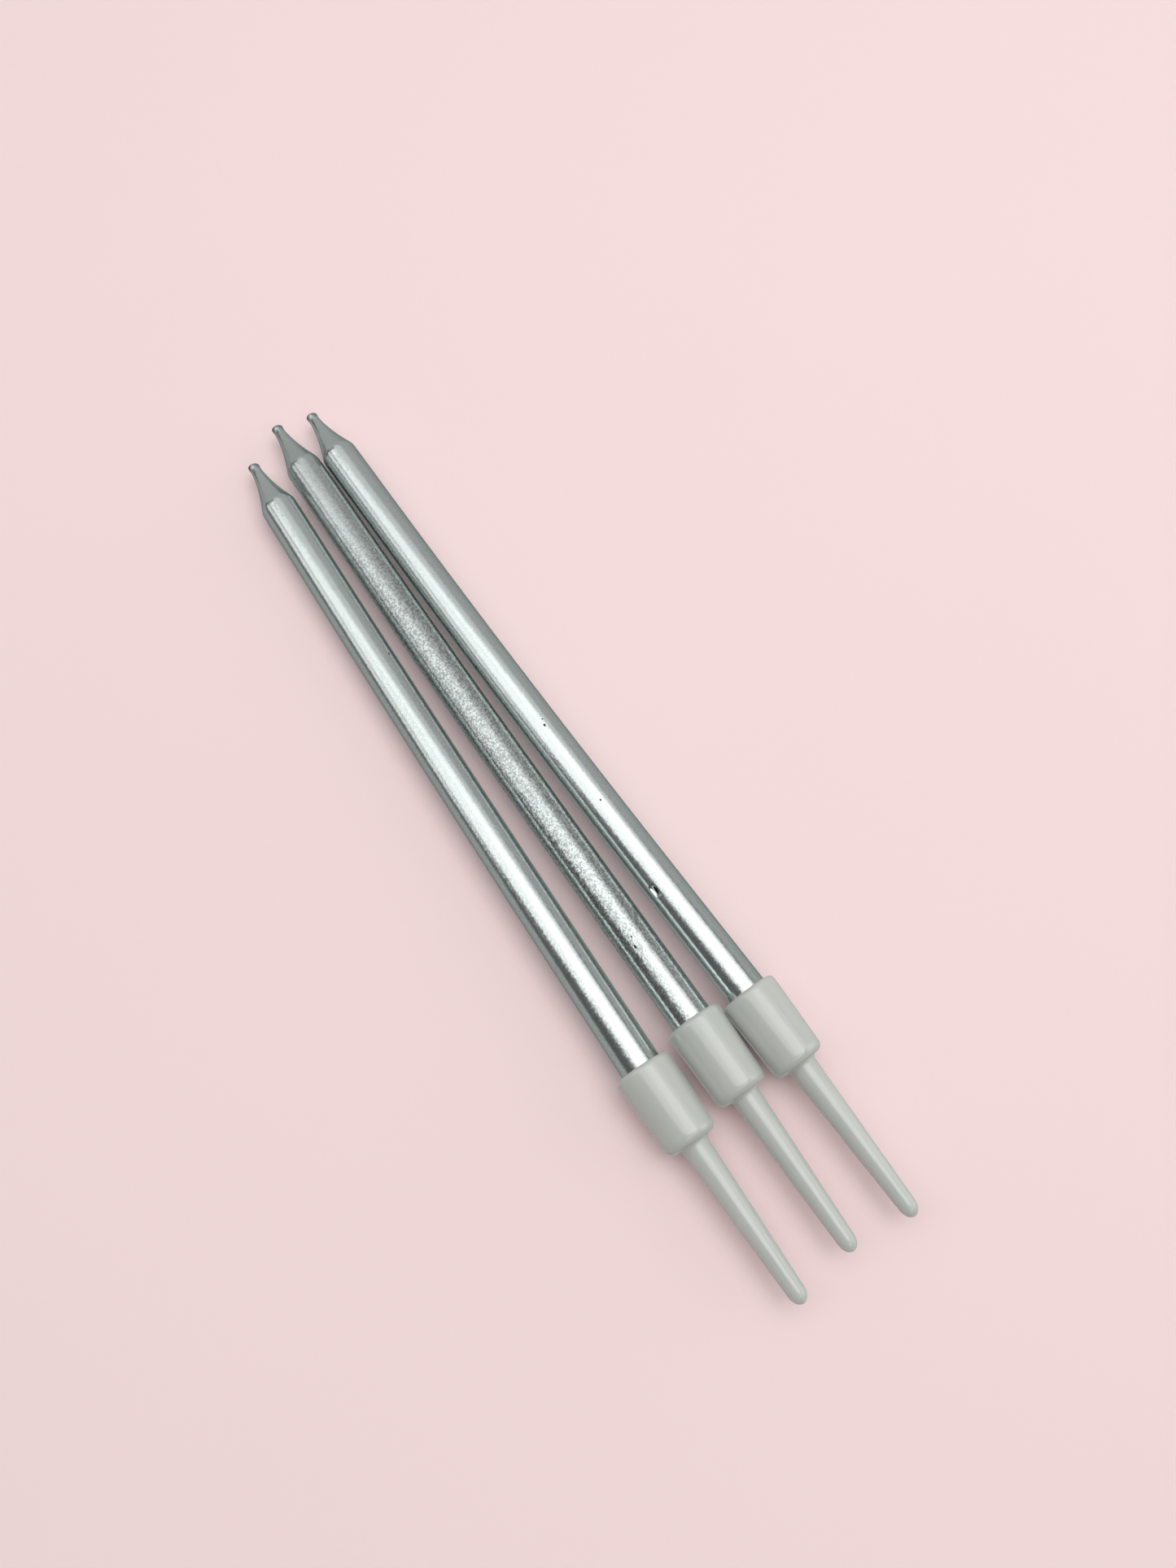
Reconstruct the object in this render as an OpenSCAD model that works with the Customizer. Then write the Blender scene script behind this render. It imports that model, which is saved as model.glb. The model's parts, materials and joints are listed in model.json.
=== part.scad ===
// Three slim cake candles, each pushed into a small holder with a spike,
// lying side by side on a table.
//
// Every stick is drawn upright about its own axis: the mouth of its holder is at
// z = 0, the candle goes up and the spike goes down. lay() then puts it on the
// table (z = 0), tips towards +Y, resting on the holder's rim and the candle's
// shoulder. The origin is at the middle of the set's footprint.

/* [Candle] */
// Diameter of the candle
candle_d = 5.8; // [5:0.1:6]
// Length of the candle, from its base to the cut end of its tip
candle_l = 124; // [100:1:130]
// Length of the pointed tip, from the shoulder to the cut end
tip_l = 9.4; // [7:0.1:12]
// Diameter of the neck, the thinnest place of the tip
neck_d = 1.75; // [1.6:0.05:1.85]
// Diameter of the bead of lacquer at the cut end
bead_d = 1.85; // [1.8:0.05:2.4]
// Length of the bead
bead_l = 1; // [0.6:0.1:1.5]
// How hollow the tip is: 1 is a straight cone
tip_hollow = 1.56; // [1:0.02:2]
// Rounding of the base's edge
base_round = 0.4; // [0.2:0.1:0.8]

/* [Wick] */
// Diameter of the wick
wick_d = 1.2; // [0.8:0.1:1.4]

/* [Holder] */
// Length of the cup
cup_l = 11.6; // [11:0.1:14]
// Outside diameter of the cup at its mouth
mouth_d = 8.2; // [7.8:0.1:8.2]
// Outside diameter of the cup at its foot
foot_d = 7.55; // [7.3:0.05:7.8]
// Rounding of the mouth's outer edge
lip_round = 0.7; // [0.2:0.1:0.7]
// Rounding of the foot's edge
foot_round = 1.1; // [0.5:0.1:1.1]
// Depth of the socket
socket_l = 9.8; // [9.8:0.1:10.2]
// Gap between the candle and the wall of the socket
socket_gap = 0.05; // [0.02:0.01:0.1]
// Chamfer at the mouth of the socket
socket_chamfer = 0.25; // [0.1:0.05:0.25]
// Length of the spike
spike_l = 23.1; // [15:0.1:35]
// Diameter of the spike at the cup
spike_root_d = 3.85; // [3:0.05:3.9]
// Diameter of the spike at its free end
spike_end_d = 2.4; // [1.5:0.1:2.8]
// Length of the spike's rounded end
spike_round = 1.6; // [1:0.1:2.5]
// Fillet between the spike and the cup
root_fillet = 0.6; // [0.3:0.1:0.7]

/* [Layout] */
// How deep the left candle sits in its socket
left_seat = 9.7; // [5:0.1:9.7]
// How deep the middle candle sits in its socket
middle_seat = 6.6; // [5:0.1:9.7]
// How deep the right candle sits in its socket
right_seat = 6.6; // [5:0.1:9.7]
// Distance from the middle mouth to the left one, across the row
left_pitch = 9.25; // [8.8:0.05:12]
// How far the left mouth lies behind the middle one
left_lag = 1.3; // [0:0.1:6]
// How much the left stick turns in towards the middle one
left_turn = 1.36; // [0:0.02:1.4]
// Distance from the middle mouth to the right one, across the row
right_pitch = 8.3; // [8.3:0.05:12]
// How far the right mouth lies behind the middle one
right_lag = 1.1; // [0:0.1:6]
// How much the right stick turns in towards the middle one
right_turn = 1.18; // [0:0.02:1.2]

/* [Hidden] */
$fn = 96;

candle_r = candle_d / 2;
neck_r = neck_d / 2;
bead_r = bead_d / 2;
wick_r = wick_d / 2;
mouth_r = mouth_d / 2;
foot_r = foot_d / 2;
socket_r = candle_r + socket_gap;
spike_root_r = spike_root_d / 2;
spike_end_r = spike_end_d / 2;
holder_l = cup_l + spike_l;
taper_l = tip_l - bead_l;
taper_steps = 14;
arc_steps = 8;

// The middle of the set's footprint, seen from the middle stick's mouth.
centre_x = (right_pitch - left_pitch) / 2;
centre_y = (candle_l - middle_seat - holder_l - max(left_lag, right_lag)) / 2;

silver = [0.74, 0.75, 0.75];
white = [0.88, 0.89, 0.87];
cotton = [0.95, 0.93, 0.88];

// Points on a round corner, from angle a0 to a1.
function arc(centre, r, a0, a1) =
    [for (i = [0:arc_steps]) let (a = a0 + (a1 - a0) * i / arc_steps)
        centre + r * [cos(a), sin(a)]];

// Radius of the tip at height z above the shoulder.
function tip_r(z) = neck_r + (candle_r - neck_r) * pow(1 - z / taper_l, tip_hollow);

// Outline of the rounded free end of the spike, from the axis to its side.
function spike_end() =
    [for (i = [0:arc_steps]) let (a = 90 * i / arc_steps)
        [spike_end_r * sin(a), -holder_l + spike_round * (1 - cos(a))]];

// A solid of revolution that starts at the mouth of the holder and goes down.
module holder(colour = white) {
    color(colour)
        rotate_extrude()
            polygon(concat(
                spike_end(),
                arc([spike_root_r + root_fillet, -cup_l - root_fillet], root_fillet, 180, 90),
                arc([foot_r - foot_round, -cup_l + foot_round], foot_round, -90, 0),
                arc([mouth_r - lip_round, -lip_round], lip_round, 0, 90),
                [[socket_r + socket_chamfer, 0],
                 [socket_r, -socket_chamfer],
                 [socket_r, -socket_l],
                 [0, -socket_l]]));
}

// The wax stick with its lacquer, bored for the wick. Its base is seat below the mouth.
module candle(seat, colour = silver) {
    shoulder = candle_l - tip_l - seat;
    color(colour)
        rotate_extrude()
            polygon(concat(
                [[wick_r, -seat]],
                arc([candle_r - base_round, -seat + base_round], base_round, -90, 0),
                [for (i = [0:taper_steps]) let (z = taper_l * i / taper_steps)
                    [tip_r(z), shoulder + z]],
                [[bead_r, shoulder + taper_l + bead_l / 2],
                 [bead_r, shoulder + taper_l + bead_l * 0.8],
                 [bead_r - bead_l * 0.2, shoulder + tip_l],
                 [wick_r, shoulder + tip_l]]));
}

// The braided wick, which runs through the whole candle and is cut flush at both ends.
module wick(seat, colour = cotton) {
    color(colour)
        translate([0, 0, -seat])
            cylinder(h = candle_l, r = wick_r);
}

// Lays a stick on the table with its mouth at (x, y) from the middle stick's mouth,
// turned by yaw. It rests on the rim of the mouth and on the candle's shoulder.
module lay(seat, x = 0, y = 0, yaw = 0) {
    visible_l = candle_l - tip_l - seat;
    tilt = atan((mouth_r - candle_r) / (visible_l + lip_round));
    height = candle_r * cos(tilt) + visible_l * sin(tilt);
    translate([x - centre_x, y - centre_y, height])
        rotate([-90 - tilt, 0, yaw])
            children();
}

module lay_left() lay(left_seat, -left_pitch, -left_lag, -left_turn) children();
module lay_middle() lay(middle_seat) children();
module lay_right() lay(right_seat, right_pitch, -right_lag, right_turn) children();

module left_holder() lay_left() holder();
module left_candle() lay_left() candle(left_seat);
module left_wick() lay_left() wick(left_seat);

module middle_holder() lay_middle() holder();
module middle_candle() lay_middle() candle(middle_seat);
module middle_wick() lay_middle() wick(middle_seat);

module right_holder() lay_right() holder();
module right_candle() lay_right() candle(right_seat);
module right_wick() lay_right() wick(right_seat);

left_holder();
left_candle();
left_wick();
middle_holder();
middle_candle();
middle_wick();
right_holder();
right_candle();
right_wick();
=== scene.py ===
"""Looks for a set of three silver cake candles in white plastic holders, lying side by side."""
import functools
import json
import math

import bmesh
import bpy
from mathutils import Matrix, Vector, noise


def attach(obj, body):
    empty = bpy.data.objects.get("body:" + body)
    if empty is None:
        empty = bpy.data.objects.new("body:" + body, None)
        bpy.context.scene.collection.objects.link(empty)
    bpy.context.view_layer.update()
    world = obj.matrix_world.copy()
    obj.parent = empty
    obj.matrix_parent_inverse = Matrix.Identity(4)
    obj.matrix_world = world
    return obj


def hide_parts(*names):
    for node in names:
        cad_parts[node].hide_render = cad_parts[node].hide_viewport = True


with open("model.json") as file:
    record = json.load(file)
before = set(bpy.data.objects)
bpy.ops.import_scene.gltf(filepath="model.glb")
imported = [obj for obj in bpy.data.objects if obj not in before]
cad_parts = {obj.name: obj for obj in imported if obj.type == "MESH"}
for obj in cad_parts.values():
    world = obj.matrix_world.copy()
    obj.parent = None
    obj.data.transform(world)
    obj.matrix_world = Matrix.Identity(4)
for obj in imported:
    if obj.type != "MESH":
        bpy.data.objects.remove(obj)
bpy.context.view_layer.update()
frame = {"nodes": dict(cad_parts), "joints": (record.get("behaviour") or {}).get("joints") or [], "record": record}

MM = 0.001
SIDES = ("left", "middle", "right")


# ---------------------------------------------------------------- camera

AIM = Vector((7.85, -4.7, 4.0)) * MM    # the point the camera looks at, from the set's middle
DISTANCE = 170.5 * MM                   # from the camera to that point
OFF_VERTICAL = math.radians(20.65)      # how far the view leans away from straight down
HEADING = math.radians(31.92)           # which way it leans, clockwise from +Y
ROLL = math.radians(-2.22)              # turn of the picture about the view
LENS = 27.05                            # mm, on a 36 mm sensor along the picture's long side


def add_camera():
    ahead = Vector((math.sin(OFF_VERTICAL) * math.sin(HEADING),
                    math.sin(OFF_VERTICAL) * math.cos(HEADING),
                    -math.cos(OFF_VERTICAL)))
    right = ahead.cross(Vector((0, 0, 1))).normalized()
    up = right.cross(ahead)
    right, up = (right * math.cos(ROLL) + up * math.sin(ROLL),
                 up * math.cos(ROLL) - right * math.sin(ROLL))
    data = bpy.data.cameras.new("camera")
    data.lens = LENS
    data.sensor_width = 36
    data.clip_start = 0.01
    camera = bpy.data.objects.new("camera", data)
    turn = Matrix((right, up, -ahead)).transposed().to_4x4()
    camera.matrix_world = Matrix.Translation(AIM - ahead * DISTANCE) @ turn
    bpy.context.scene.collection.objects.link(camera)
    bpy.context.scene.camera = camera


# ---------------------------------------------------------------- the sticks' own frames

class Stick:
    """A stick's own frame: origin at its holder's mouth, +Y towards the tip, +Z up, +X across."""

    def __init__(self, side):
        self.side = side
        mount = next(m for m in frame["record"]["mounts"] if m["name"] == side + "_spike")
        joint = next(j for j in frame["joints"] if j["name"] == side + "_candle_pull")
        along = Vector(joint["axis"]).normalized()
        across = along.cross(Vector((0, 0, 1))).normalized()
        turn = Matrix((across, along, across.cross(along))).transposed().to_4x4()
        foot = Matrix.Translation(Vector(mount["pos_m"])) @ turn
        self.cup_l = max(y for _, y in self.outline(side + "_holder", foot))
        self.frame = foot @ Matrix.Translation((0, self.cup_l, 0))
        holder = self.outline(side + "_holder", self.frame)
        candle = self.outline(side + "_candle", self.frame)
        self.spike_end = min(y for _, y in holder)
        self.mouth_r = max(r for r, _ in holder)
        self.candle_r = max(r for r, _ in candle)
        self.base = min(y for _, y in candle)
        self.tip = max(y for _, y in candle)
        self.shoulder = max(y for r, y in candle if r > 0.999 * self.candle_r)
        self.wick_r = max(r for r, _ in self.outline(side + "_wick", self.frame))

    @staticmethod
    def outline(node, frame_matrix):
        """(radius, height) of every vertex of a CAD node about the stick's axis."""
        inverse = frame_matrix.inverted()
        points = [inverse @ v.co for v in frame["nodes"][node].data.vertices]
        return [(math.hypot(p.x, p.z), p.y) for p in points]


# ---------------------------------------------------------------- meshes

TURNS = 96          # points round a holder or a candle
WICK_TURNS = 48
CREASE = math.radians(50)


def lathe(name, stick, outline, turns, shape, surface=None, closed=False):
    """A solid of revolution about the stick's axis. outline is a list of (radius, height), and
    closed joins its end to its start. shape(point, angle) returns each point where it belongs,
    and surface(point, angle) says how much painted shade and how much grain it has there, each from 0 to 1."""
    bm = bmesh.new()
    # painted_shade: how much painted shade darkens each point, in dents and at the cut end
    painted_shade = bm.verts.layers.float.new("painted_shade")
    grain = bm.verts.layers.float.new("grain")
    rings = []
    for r, y in outline:
        ring = []
        for a in ([0.0] if r == 0 else turns):
            p = Vector((r * math.cos(a), y, r * math.sin(a)))
            vertex = bm.verts.new(shape(p, a))
            if surface:
                vertex[painted_shade], vertex[grain] = surface(p, a)
            ring.append(vertex)
        rings.append(ring)
    pairs = list(zip(rings, rings[1:]))
    if closed:
        pairs.append((rings[-1], rings[0]))
    for low, high in pairs:
        n = max(len(low), len(high))
        for i in range(n):
            j = (i + 1) % n
            corners = [low[i % len(low)], low[j % len(low)], high[j % len(high)], high[i % len(high)]]
            bm.faces.new(list(dict.fromkeys(corners)))
    bmesh.ops.recalc_face_normals(bm, faces=bm.faces)
    mesh = bpy.data.meshes.new(name)
    bm.to_mesh(mesh)
    bm.free()
    mesh.transform(stick.frame)
    mesh.shade_smooth()
    mesh.set_sharp_from_angle(angle=CREASE)
    piece = bpy.data.objects.new(name, mesh)
    bpy.context.scene.collection.objects.link(piece)
    return piece


def arc(centre, r, start, end, steps=10):
    """Points on a round corner, angles in degrees."""
    out = []
    for i in range(steps + 1):
        a = math.radians(start + (end - start) * i / steps)
        out.append((centre[0] + r * math.cos(a), centre[1] + r * math.sin(a)))
    return out


def even_turns(count):
    return [2 * math.pi * i / count for i in range(count)]


def stretch(start, end, step):
    """Points from start to end, not including end, about step apart."""
    count = max(1, round(math.dist(start, end) / step))
    return [tuple(a + (b - a) * i / count for a, b in zip(start, end)) for i in range(count)]


def soft_least(a, b, blend):
    """The smaller of two lengths, with a rounded change from one to the other."""
    return -blend * math.log(math.exp(-a / blend) + math.exp(-b / blend))


# ---------------------------------------------------------------- holders

FOOT_R = 3.775 * MM
LIP_ROUND = 0.7 * MM
FOOT_ROUND = 1.1 * MM
ROOT_FILLET = 0.6 * MM
SPIKE_ROOT_R = 1.925 * MM
SPIKE_END_R = 1.2 * MM
SPIKE_ROUND = 1.6 * MM
SOCKET_R = 2.95 * MM
SOCKET_CHAMFER = 0.25 * MM
SOCKET_L = 9.8 * MM
SEAM_RISE = 0.02 * MM          # height of the mould's parting line
SEAM_HALF_WIDTH = 0.12 * MM
SEAM_ANGLE = math.radians(12)  # where the line runs, up from the side; its twin is opposite
CROOK = {"left": 0.031, "middle": -0.004, "right": -0.005}   # sideways slant of the outer skin


def holder(stick):
    cup, end = stick.cup_l, stick.spike_end
    tip = [(SPIKE_END_R * math.sin(math.radians(a)), end + SPIKE_ROUND * (1 - math.cos(math.radians(a))))
           for a in range(0, 91, 9)]
    fillet = arc((SPIKE_ROOT_R + ROOT_FILLET, -cup - ROOT_FILLET), ROOT_FILLET, 180, 90)
    foot = arc((FOOT_R - FOOT_ROUND, -cup + FOOT_ROUND), FOOT_ROUND, -90, 0)
    lip = arc((stick.mouth_r - LIP_ROUND, -LIP_ROUND), LIP_ROUND, 0, 90)
    bore_mouth = [(SOCKET_R + SOCKET_CHAMFER, 0), (SOCKET_R, -SOCKET_CHAMFER)]
    outline = (tip[:-1] + stretch(tip[-1], fillet[0], 0.5 * MM) + fillet + foot[:-1]
               + stretch(foot[-1], lip[0], 0.5 * MM) + lip + bore_mouth
               + [(SOCKET_R, -SOCKET_L), (0, -SOCKET_L)])
    slant = CROOK[stick.side]
    seams = (SEAM_ANGLE, SEAM_ANGLE + math.pi)
    seam_turns = [s + d * SEAM_HALF_WIDTH / FOOT_R for s in seams for d in (-1, -0.5, 0, 0.5, 1)]
    turns = sorted(even_turns(TURNS) + seam_turns)

    def shape(p, angle):
        r = math.hypot(p.x, p.z)
        in_bore = p.y >= -SOCKET_L and r <= SOCKET_R + SOCKET_CHAMFER
        if in_bore:
            return p
        if r > SPIKE_END_R and p.y < -LIP_ROUND:
            off = min(abs(angle - s) for s in seams) * r
            rise = SEAM_RISE * max(0.0, 1 - off / SEAM_HALF_WIDTH)
            p = Vector((p.x * (1 + rise / r), p.y, p.z * (1 + rise / r)))
        return Vector((p.x - slant * p.y, p.y * (1 - slant * slant), p.z))

    piece = lathe(stick.side + "_holder_shell", stick, outline, turns, shape)
    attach(piece, stick.side + "_holder")
    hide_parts(stick.side + "_holder")
    piece.data.materials.append(white_plastic())
    return piece


# ---------------------------------------------------------------- candles

NECK_R = 0.875 * MM
BEAD_R = 0.925 * MM
BEAD_L = 1.0 * MM
BEAD_ROUND = 0.1 * MM
TIP_HOLLOW = 1.56
BASE_ROUND = 0.4 * MM
SHOULDER_BLEND = 0.07 * MM
WAVE = 0.005 * MM              # how far the dipped surface wanders in and out
WAVE_L = 7 * MM
CUT_SLOPE = 0.16               # slope of the cut across the tip
CUT_REACH = 0.5 * BEAD_L       # how far below the end the slope is blended in
RIM_PAINTED_SHADE = 0.8             # how dark the painted shade makes the lacquer at the cut end
RIM_L = 1.3 * MM
RING_STEP = 0.5 * MM
BORE_STEP = 4 * MM
TAPER_RINGS = 44
BELOW_SHOULDER = 1.5 * MM      # where the fine rings of the taper begin
SWELL_L = 0.8 * BEAD_L         # over what length the neck widens to the bead
SWELL_STEPS = 5

# How far each candle bows to the left at its middle, and how far its tip leans to the right.
BOW = {"left": 0.30 * MM, "middle": 0.40 * MM, "right": 0.65 * MM}
LEAN = {"left": 0.0 * MM, "middle": 0.26 * MM, "right": 0.26 * MM}

# How grainy each candle's lacquer is, as (distance from the mouth in mm, amount).
GRAIN = {
    "left": [(0, 0.5), (60, 0.7), (90, 0.25), (104, 0.1)],
    "middle": [(0, 0.45), (14, 0.9), (75, 1.0), (104, 0.45), (108, 0.15)],
    "right": [(0, 0.4), (50, 0.3), (85, 0.45), (108, 0.1)],
}


# The painted shade in a dent, in half lengths and half widths of it.
DARK_ALONG = 0.8
DARK_RIGHT = 0.9
DARK_LEFT = 0.8
DARK_GAP = 0.05     # how far short of the deepest line it stops, where the dent has a skew
DARK_SHARPNESS = 3  # how fast it darkens from its edge inwards


class Dent:
    """A dent in a candle: its distance from the mouth, its angle from +X towards +Z, its half
    length along the candle, its half width round it, its depth, and skew: where its deepest line
    lies across it, from -1 (right wall upright) to 1 (left wall upright). Painted shade darkens
    the lacquer on nearly all of a dent with no skew, and right of the deepest line in one with a skew."""

    def __init__(self, along, angle, half_l, half_w, depth, skew=0.0):
        self.along, self.angle = along * MM, math.radians(angle)
        self.half_l, self.half_w = half_l * MM, half_w * MM
        self.depth, self.skew = depth * MM, skew

    def place(self, y, angle, r):
        """How far along and how far across the dent a point is, 1 being its edge."""
        return (y - self.along) / self.half_l, (angle - self.angle) * r / self.half_w

    def at(self, y, angle, r):
        """How deep the dent is at a point."""
        q, across = self.place(y, angle, r)
        if abs(q) >= 1 or abs(across) >= 1:
            return 0.0
        side = across - self.skew
        t = side / (1 - self.skew) if side > 0 else -side / (1 + self.skew)
        return self.depth * (1 - t * t) ** 2 * (1 - q * q)

    def darkness(self, y, angle, r):
        """How much painted shade darkens the lacquer at a point, from 0 to 1."""
        q, across = self.place(y, angle, r)
        end = DARK_LEFT if self.skew == 0 else self.skew - DARK_GAP
        middle, half = (end - DARK_RIGHT) / 2, (end + DARK_RIGHT) / 2
        inside = 1 - math.hypot(q / DARK_ALONG, (across - middle) / half)
        return min(1.0, max(0.0, DARK_SHARPNESS * inside))

    def heights(self):
        """The rings that the mesh needs for it, a little past both its ends."""
        return [self.along + self.half_l * i / 12 for i in range(-14, 15)]

    def angles(self, r):
        """The turns that the mesh needs for it, a little past both its sides."""
        return [self.angle + self.half_w / r * i / 8 for i in range(-10, 11)]


DENTS = {
    "left": [Dent(71.0, 48, 0.30, 0.16, 0.03)],
    "middle": [Dent(12.0, 110, 0.32, 0.22, 0.07), Dent(13.4, 102, 0.20, 0.17, 0.05)],
    "right": [Dent(18.2, 130, 1.05, 0.62, 0.30, 0.42), Dent(47.5, 90, 0.34, 0.22, 0.07),
              Dent(48.5, 84, 0.18, 0.16, 0.04), Dent(33.3, 94, 0.22, 0.18, 0.05)],
}


def tip_outline(stick):
    """The candle's side from below its shoulder to its cut end."""
    r, top = stick.candle_r, stick.tip
    neck = top - BEAD_L
    taper_l = neck - stick.shoulder
    points = []
    for i in range(TAPER_RINGS):
        y = stick.shoulder - BELOW_SHOULDER + (taper_l + BELOW_SHOULDER) * i / TAPER_RINGS
        cone = NECK_R + (r - NECK_R) * (1 - (y - stick.shoulder) / taper_l) ** TIP_HOLLOW
        points.append((soft_least(r, cone, SHOULDER_BLEND), y))
    swell = []
    for i in range(SWELL_STEPS + 1):
        rise = 0.5 - 0.5 * math.cos(math.pi * i / SWELL_STEPS)
        swell.append((NECK_R + (BEAD_R - NECK_R) * rise, neck + SWELL_L * i / SWELL_STEPS))
    end = arc((BEAD_R - BEAD_ROUND, top - BEAD_ROUND), BEAD_ROUND, 0, 90, 6)
    return points + swell + end


def candle(stick):
    r = stick.candle_r
    base = arc((r - BASE_ROUND, stick.base + BASE_ROUND), BASE_ROUND, -90, 0, 6)
    tip = tip_outline(stick)
    dents = DENTS[stick.side]
    side = [y for _, y in stretch(base[-1], tip[0], RING_STEP)] + [y for d in dents for y in d.heights()]
    bore = stretch((stick.wick_r, stick.tip), (stick.wick_r, stick.base), BORE_STEP)
    outline = base + [(r, y) for y in sorted(set(side))[1:]] + tip + bore + [(stick.wick_r, stick.base)]
    turns = sorted(even_turns(TURNS) + [a for d in dents for a in d.angles(r)])
    seed = 10.0 * SIDES.index(stick.side)

    def shape(p, angle):
        radius = math.hypot(p.x, p.z)
        if radius > stick.wick_r * 1.01:
            wander = Vector((p.x / r, p.y / WAVE_L + seed, p.z / r))
            fade = min(1.0, max(0.0, p.y) / WAVE_L)
            new = radius + WAVE * fade * noise.noise(wander)
            if p.y < stick.shoulder:
                new -= sum(d.at(p.y, angle, r) for d in dents)
            p = Vector((p.x * new / radius, p.y, p.z * new / radius))
        return along_the_bow(stick, cut(stick, p))

    def surface(p, angle):
        # Painted shade: the lacquer is darkened in the dents and at the cut end to stand for shade there.
        if p.y < stick.shoulder:
            painted_shade = max([d.darkness(p.y, angle, r) for d in dents])
        else:
            # painted shade on the last part of the tip, darkening its lacquer
            painted_shade = RIM_PAINTED_SHADE * min(1.0, max(0.0, 1 - (stick.tip - p.y) / RIM_L))
        return painted_shade, grain_at(stick, p.y)

    piece = lathe(stick.side + "_candle_wax", stick, outline, turns, shape, surface, closed=True)
    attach(piece, stick.side + "_candle")
    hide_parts(stick.side + "_candle")
    piece.data.materials.append(silver_lacquer("grainy" if stick.side == "middle" else "fine"))
    return piece


def grain_at(stick, y):
    """How grainy the lacquer is at a height, read off the candle's own list."""
    points = GRAIN[stick.side]
    for (y0, g0), (y1, g1) in zip(points, points[1:]):
        if y < y1 * MM:
            return g0 + (g1 - g0) * max(0.0, y / MM - y0) / (y1 - y0)
    return points[-1][1]


def cut(stick, p):
    """Lowers the last bit of the tip to the plane of its slanting cut."""
    near = max(0.0, 1 - (stick.tip - p.y) / CUT_REACH)
    return Vector((p.x, p.y - CUT_SLOPE * near * (BEAD_R + p.x), p.z))


def along_the_bow(stick, p):
    """Moves a point of a straight candle to where the bowed one has it."""
    t = max(0.0, p.y / stick.tip)
    sideways = LEAN[stick.side] * t - BOW[stick.side] * math.sin(math.pi * t)
    return Vector((p.x + sideways, p.y, p.z))


# ---------------------------------------------------------------- wicks

WICK_END_DEPTH = 0.09 * MM     # how far the cut wick lies below the lacquer round it
STRAND_COUNT = 8
STRAND_TWIST = 5               # turn of the strands from the middle to the edge, in radians
STRAND_RISE = 0.05 * MM
BRAID_WIDTH = 0.985            # the braid's width against its bore
WICK_RINGS = 6


def wick(stick):
    r = stick.wick_r
    braid_r = r * BRAID_WIDTH
    rings = [r * i / WICK_RINGS * BRAID_WIDTH for i in range(WICK_RINGS + 1)]
    top, bottom = stick.tip - WICK_END_DEPTH, stick.base
    outline = ([(x, bottom) for x in rings] + stretch((braid_r, bottom), (braid_r, top), BORE_STEP)[1:]
               + [(x, top) for x in reversed(rings)])

    def shape(p, angle):
        radius = math.hypot(p.x, p.z)
        if p.y > top - 0.5 * WICK_END_DEPTH:
            strands = 0.5 + 0.5 * math.cos(STRAND_COUNT * angle + STRAND_TWIST * radius / r)
            p = Vector((p.x, p.y + STRAND_RISE * strands * (radius / r), p.z))
        return along_the_bow(stick, cut(stick, p))

    piece = lathe(stick.side + "_wick_braid", stick, outline, even_turns(WICK_TURNS), shape)
    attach(piece, stick.side + "_candle")
    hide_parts(stick.side + "_wick")
    piece.data.materials.append(wick_cotton())
    return piece


# ---------------------------------------------------------------- materials

def new_material(name):
    made = bpy.data.materials.new(name)
    made.use_nodes = True
    return made, made.node_tree, made.node_tree.nodes["Principled BSDF"]


def add(tree, kind, inputs, output=0, **settings):
    """Adds a node and returns one of its outputs. inputs maps a socket to a value or an output."""
    made = tree.nodes.new("ShaderNode" + kind)
    for key, value in settings.items():
        setattr(made, key, value)
    for key, value in inputs.items():
        if isinstance(value, bpy.types.NodeSocket):
            tree.links.new(value, made.inputs[key])
        else:
            made.inputs[key].default_value = value
    return made.outputs[output]


def millimetres(tree, stretched=(1, 1, 1)):
    """The piece's own coordinates in millimetres, each divided by stretched."""
    place = add(tree, "TexCoord", {}, "Object")
    return add(tree, "Mapping", {"Vector": place, "Scale": [1 / MM / s for s in stretched]})


def clouds(tree, place, size, low, high, detail=2.0, edges=(0.3, 0.7)):
    """Soft noise with features about size millimetres across, spread over low to high."""
    value = add(tree, "TexNoise", {"Vector": place, "Scale": 1 / size, "Detail": detail}, "Fac")
    return add(tree, "MapRange", {"Value": value, "From Min": edges[0], "From Max": edges[1],
                                  "To Min": low, "To Max": high})


def blend(tree, factor, first, second):
    """One colour or the other, by a factor."""
    return add(tree, "Mix", {"Factor": factor, 6: first, 7: second}, 2, data_type="RGBA")


def bump(tree, height, distance, normal=None):
    """A normal that follows a height, which is distance millimetres per unit."""
    inputs = {"Height": height, "Distance": distance * MM, "Strength": 1.0}
    if normal:
        inputs["Normal"] = normal
    return add(tree, "Bump", inputs)


LACQUER_LIGHT = (0.67, 0.71, 0.70, 1)
LACQUER_GREEN = (0.64, 0.705, 0.69, 1)
LACQUER_SPECK = (0.14, 0.15, 0.145, 1)
# colour of the painted shade in dents and at the cut end
LACQUER_PAINTED_SHADE = (0.035, 0.04, 0.038, 1)
# Per finish: width of a flake in mm, its tilt, the shade of the darkest flakes against the plain
# tint where it is grainiest, and the least and greatest roughness.
FINISHES = {"fine": (0.18, 0.05, 0.75, 0.18, 0.23), "grainy": (0.22, 0.05, 0.43, 0.20, 0.25)}
LEAST_DARK = 0.22              # how dark the lightest flakes are against the darkest, 0 to 1
DUST_PER_MM = 0.12             # specks of dust along a millimetre
DUST_FADE = (0.010, 0.014)     # where a speck begins and ends to fade, in spacings of the specks


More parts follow.
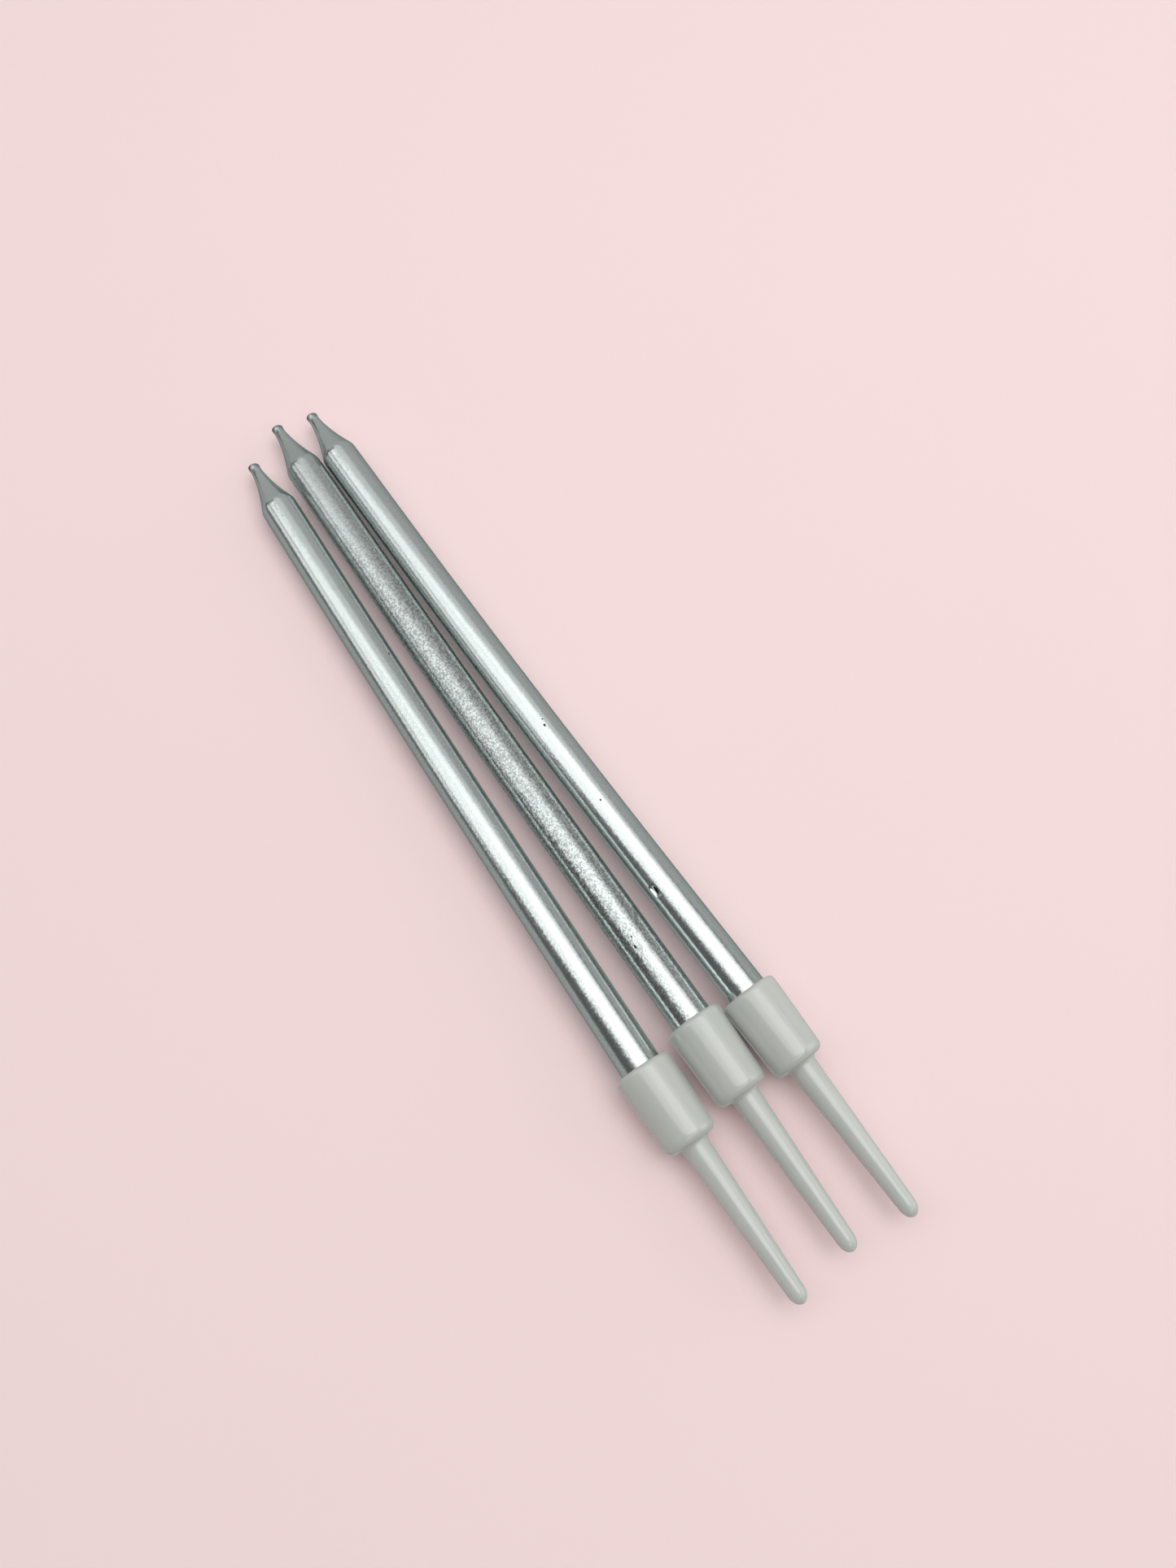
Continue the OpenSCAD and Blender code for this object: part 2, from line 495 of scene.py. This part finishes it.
def flake_normals(tree, cell, tilt, normal):
    """Turns the normal a little, a different way on each flake of the lacquer."""
    way = add(tree, "VectorMath", {0: cell, 1: (0.5, 0.5, 0.5)}, operation="SUBTRACT")
    turned = add(tree, "VectorMath", {0: way, 1: (tilt, tilt, tilt), 2: normal}, operation="MULTIPLY_ADD")
    return add(tree, "VectorMath", {0: turned}, operation="NORMALIZE")


@functools.cache
def silver_lacquer(finish):
    """Metal flakes in lacquer: fine grain, slight orange peel, dust specks, cloudy tint, and painted shade in
    dents and at the cut end.
    """
    flake, tilt, shade, smooth, rough = FINISHES[finish]
    made, tree, shader = new_material(finish + "_flake_lacquer")
    place = millimetres(tree)
    cell = add(tree, "TexVoronoi", {"Vector": place, "Scale": 1 / flake}, "Color")
    tint = blend(tree, clouds(tree, place, 1.6, 0.0, 1.0), LACQUER_LIGHT, LACQUER_GREEN)
    darker = add(tree, "VectorMath", {0: tint, "Scale": shade}, operation="SCALE")
    grain = add(tree, "Attribute", {}, "Fac", attribute_name="grain")
    least = add(tree, "Math", {0: grain, 1: LEAST_DARK}, operation="MULTIPLY")
    dark = add(tree, "MapRange", {"Value": cell, "From Min": 0.3, "From Max": 0.7, "To Min": grain,
                                  "To Max": least})
    tint = blend(tree, dark, tint, darker)
    dust = add(tree, "TexVoronoi", {"Vector": place, "Scale": DUST_PER_MM}, "Distance")
    dust = add(tree, "MapRange", {"Value": dust, "From Min": DUST_FADE[0], "From Max": DUST_FADE[1],
                                  "To Min": 1.0, "To Max": 0.0})
    tint = blend(tree, dust, tint, LACQUER_SPECK)
    # painted shade: darkens the lacquer in the dents and at the cut end
    painted_shade = add(tree, "Attribute", {}, "Fac", attribute_name="painted_shade")
    tree.links.new(blend(tree, painted_shade, tint, LACQUER_PAINTED_SHADE), shader.inputs["Base Color"])
    patches = clouds(tree, place, 0.9, smooth, rough, detail=3.0)
    tree.links.new(patches, shader.inputs["Roughness"])
    peel = bump(tree, clouds(tree, millimetres(tree, (1, 2.5, 1)), 1.1, 0.0, 1.0), 0.001)
    tree.links.new(flake_normals(tree, cell, tilt, peel), shader.inputs["Normal"])
    shader.inputs["Metallic"].default_value = 1.0
    shader.inputs["Specular Tint"].default_value = (0.45, 0.47, 0.46, 1)
    shader.inputs["Coat Weight"].default_value = 0.12
    shader.inputs["Coat Roughness"].default_value = 0.12
    return made


PLASTIC = (0.52, 0.55, 0.515, 1)
PLASTIC_WARM = (0.535, 0.557, 0.515, 1)


@functools.cache
def white_plastic():
    """Moulded polystyrene: glossy, faintly uneven, with a trace of light passing under its skin."""
    made, tree, shader = new_material("moulded_plastic")
    place = millimetres(tree)
    tint = blend(tree, clouds(tree, place, 5.0, 0.0, 1.0), PLASTIC, PLASTIC_WARM)
    tree.links.new(tint, shader.inputs["Base Color"])
    tree.links.new(clouds(tree, place, 1.3, 0.08, 0.13, detail=4.0), shader.inputs["Roughness"])
    flow = bump(tree, clouds(tree, millimetres(tree, (1, 3, 1)), 1.8, 0.0, 1.0), 0.008)
    skin = bump(tree, clouds(tree, place, 0.12, 0.0, 1.0), 0.0006, flow)
    tree.links.new(skin, shader.inputs["Normal"])
    shader.inputs["Subsurface Weight"].default_value = 0.12
    shader.inputs["Subsurface Radius"].default_value = (1.0, 0.95, 0.8)
    shader.inputs["Subsurface Scale"].default_value = 0.7 * MM
    shader.inputs["IOR"].default_value = 1.6
    return made


STRAND = (0.42, 0.45, 0.42, 1)
# painted shade in the gaps between the strands of the braid
STRAND_GAP_PAINTED_SHADE = (0.17, 0.18, 0.17, 1)


@functools.cache
def wick_cotton():
    """Cut braid, waxed and misted with lacquer: pale strands with painted shade in the gaps between them."""
    made, tree, shader = new_material("cut_braid")
    place = millimetres(tree)
    strands = add(tree, "TexVoronoi", {"Vector": place, "Scale": 5.5}, "Distance")
    # painted shade: darker away from the strands' middles
    gap_painted_shade = add(tree, "MapRange", {"Value": strands, "From Min": 0.25, "From Max": 0.75})
    tree.links.new(blend(tree, gap_painted_shade, STRAND, STRAND_GAP_PAINTED_SHADE), shader.inputs["Base Color"])
    tree.links.new(clouds(tree, place, 0.1, 0.5, 0.85), shader.inputs["Roughness"])
    tree.links.new(bump(tree, clouds(tree, place, 0.08, 0.0, 1.0), 0.02), shader.inputs["Normal"])
    shader.inputs["Sheen Weight"].default_value = 0.15
    return made


FLOOR_COLOUR = (0.932, 0.735, 0.738, 1)
FLOOR_DEEPER = (0.927, 0.73, 0.733, 1)


def pale_floor():
    made, tree, shader = new_material("pale_floor")
    place = millimetres(tree)
    tint = blend(tree, clouds(tree, place, 60.0, 0.0, 1.0), FLOOR_COLOUR, FLOOR_DEEPER)
    tree.links.new(tint, shader.inputs["Base Color"])
    tree.links.new(clouds(tree, place, 0.4, 0.88, 0.95), shader.inputs["Roughness"])
    shader.inputs["Specular IOR Level"].default_value = 0.0
    return made


# ---------------------------------------------------------------- floor and lights

WORLD_ABOVE = (0.12, 0.12, 0.12, 1)
WORLD_BELOW = (0.45, 0.465, 0.46, 1)
FLOOR_SIZE = 1.6
FLOOR_DROP = 0.02 * MM   # keeps the floor just clear of what rests on it


def add_floor():
    mesh = bpy.data.meshes.new("floor")
    h = FLOOR_SIZE / 2
    z = -FLOOR_DROP
    mesh.from_pydata([(-h, -h, z), (h, -h, z), (h, h, z), (-h, h, z)], [], [(0, 1, 2, 3)])
    mesh.materials.append(pale_floor())
    floor = bpy.data.objects.new("floor", mesh)
    bpy.context.scene.collection.objects.link(floor)
    floor.visible_glossy = False      # keeps the floor's pink out of the lacquer


# Each panel: its centre and size in metres, which way it faces, and its radiance. Places are
# (across, beyond, above): across the picture, up the picture, and up from the floor.
PANELS = {
    "overhead_right": ((0.305, 0.03, 0.70), (0.56, 0.40), (0, 0, -1), 2.8),
    "overhead_middle": ((-0.09, 0.02, 0.70), (0.23, 0.40), (0, 0, -1), 1.8),
    "overhead_left": ((-0.60, 0.01, 0.70), (0.79, 0.40), (0, 0, -1), 1.35),
    "beyond_left": ((-0.675, 0.33, 0.70), (0.65, 0.22), (0, 0, -1), 1.3),
    "beyond_middle": ((-0.075, 0.32, 0.70), (0.55, 0.20), (0, 0, -1), 1.45),
    "beyond_right": ((0.60, 0.34, 0.70), (0.80, 0.22), (0, 0, -1), 1.1),
    "high_far": ((0.0, 0.585, 0.70), (1.00, 0.33), (0, 0, -1), 0.58),
    "right_wall": ((0.90, 0.12, 0.34), (0.66, 0.70), (-1, 0, 0), 1.3),
    "left_wall": ((-1.00, 0.06, 0.45), (0.50, 0.34), (1, 0, 0), 1.0),
    "far_wall": ((0.0, 0.80, 0.42), (2.80, 0.80), (0, -1, 0), 0.34),
    "front_fill": ((0.40, -0.50, 0.62), (0.70, 0.35), (-0.45, 0.56, -0.70), 1.4),
}


def add_panel(name, centre, size, facing, radiance):
    """A soft rectangular light, placed along the picture's own directions. A facing of +X or -X
    has the size's first number upright."""
    data = bpy.data.lights.new(name, "AREA")
    data.shape = "RECTANGLE"
    data.size, data.size_y = size
    data.energy = radiance * math.pi * size[0] * size[1]
    lamp = bpy.data.objects.new(name, data)
    turn = Matrix.Rotation(-HEADING, 4, "Z")
    back = -Vector(facing)
    lamp.matrix_world = (turn @ Matrix.Translation(centre)
                         @ back.to_track_quat("Z", "Y").to_matrix().to_4x4())
    bpy.context.scene.collection.objects.link(lamp)


def add_world():
    """Dim above the horizon, and below it the grey that the lacquer reflects instead of the floor."""
    world = bpy.data.worlds.new("studio")
    world.use_nodes = True
    tree = world.node_tree
    height = add(tree, "SeparateXYZ", {"Vector": add(tree, "TexCoord", {}, "Generated")}, "Z")
    above = add(tree, "MapRange", {"Value": height, "From Min": -0.1, "From Max": 0.1})
    tree.links.new(blend(tree, above, WORLD_BELOW, WORLD_ABOVE), tree.nodes["Background"].inputs["Color"])
    bpy.context.scene.world = world


add_camera()
add_floor()
add_world()
for name, panel in PANELS.items():
    add_panel(name, *panel)
bpy.context.scene.view_settings.view_transform = "Standard"

for side in SIDES:
    stick = Stick(side)
    holder(stick)
    candle(stick)
    wick(stick)
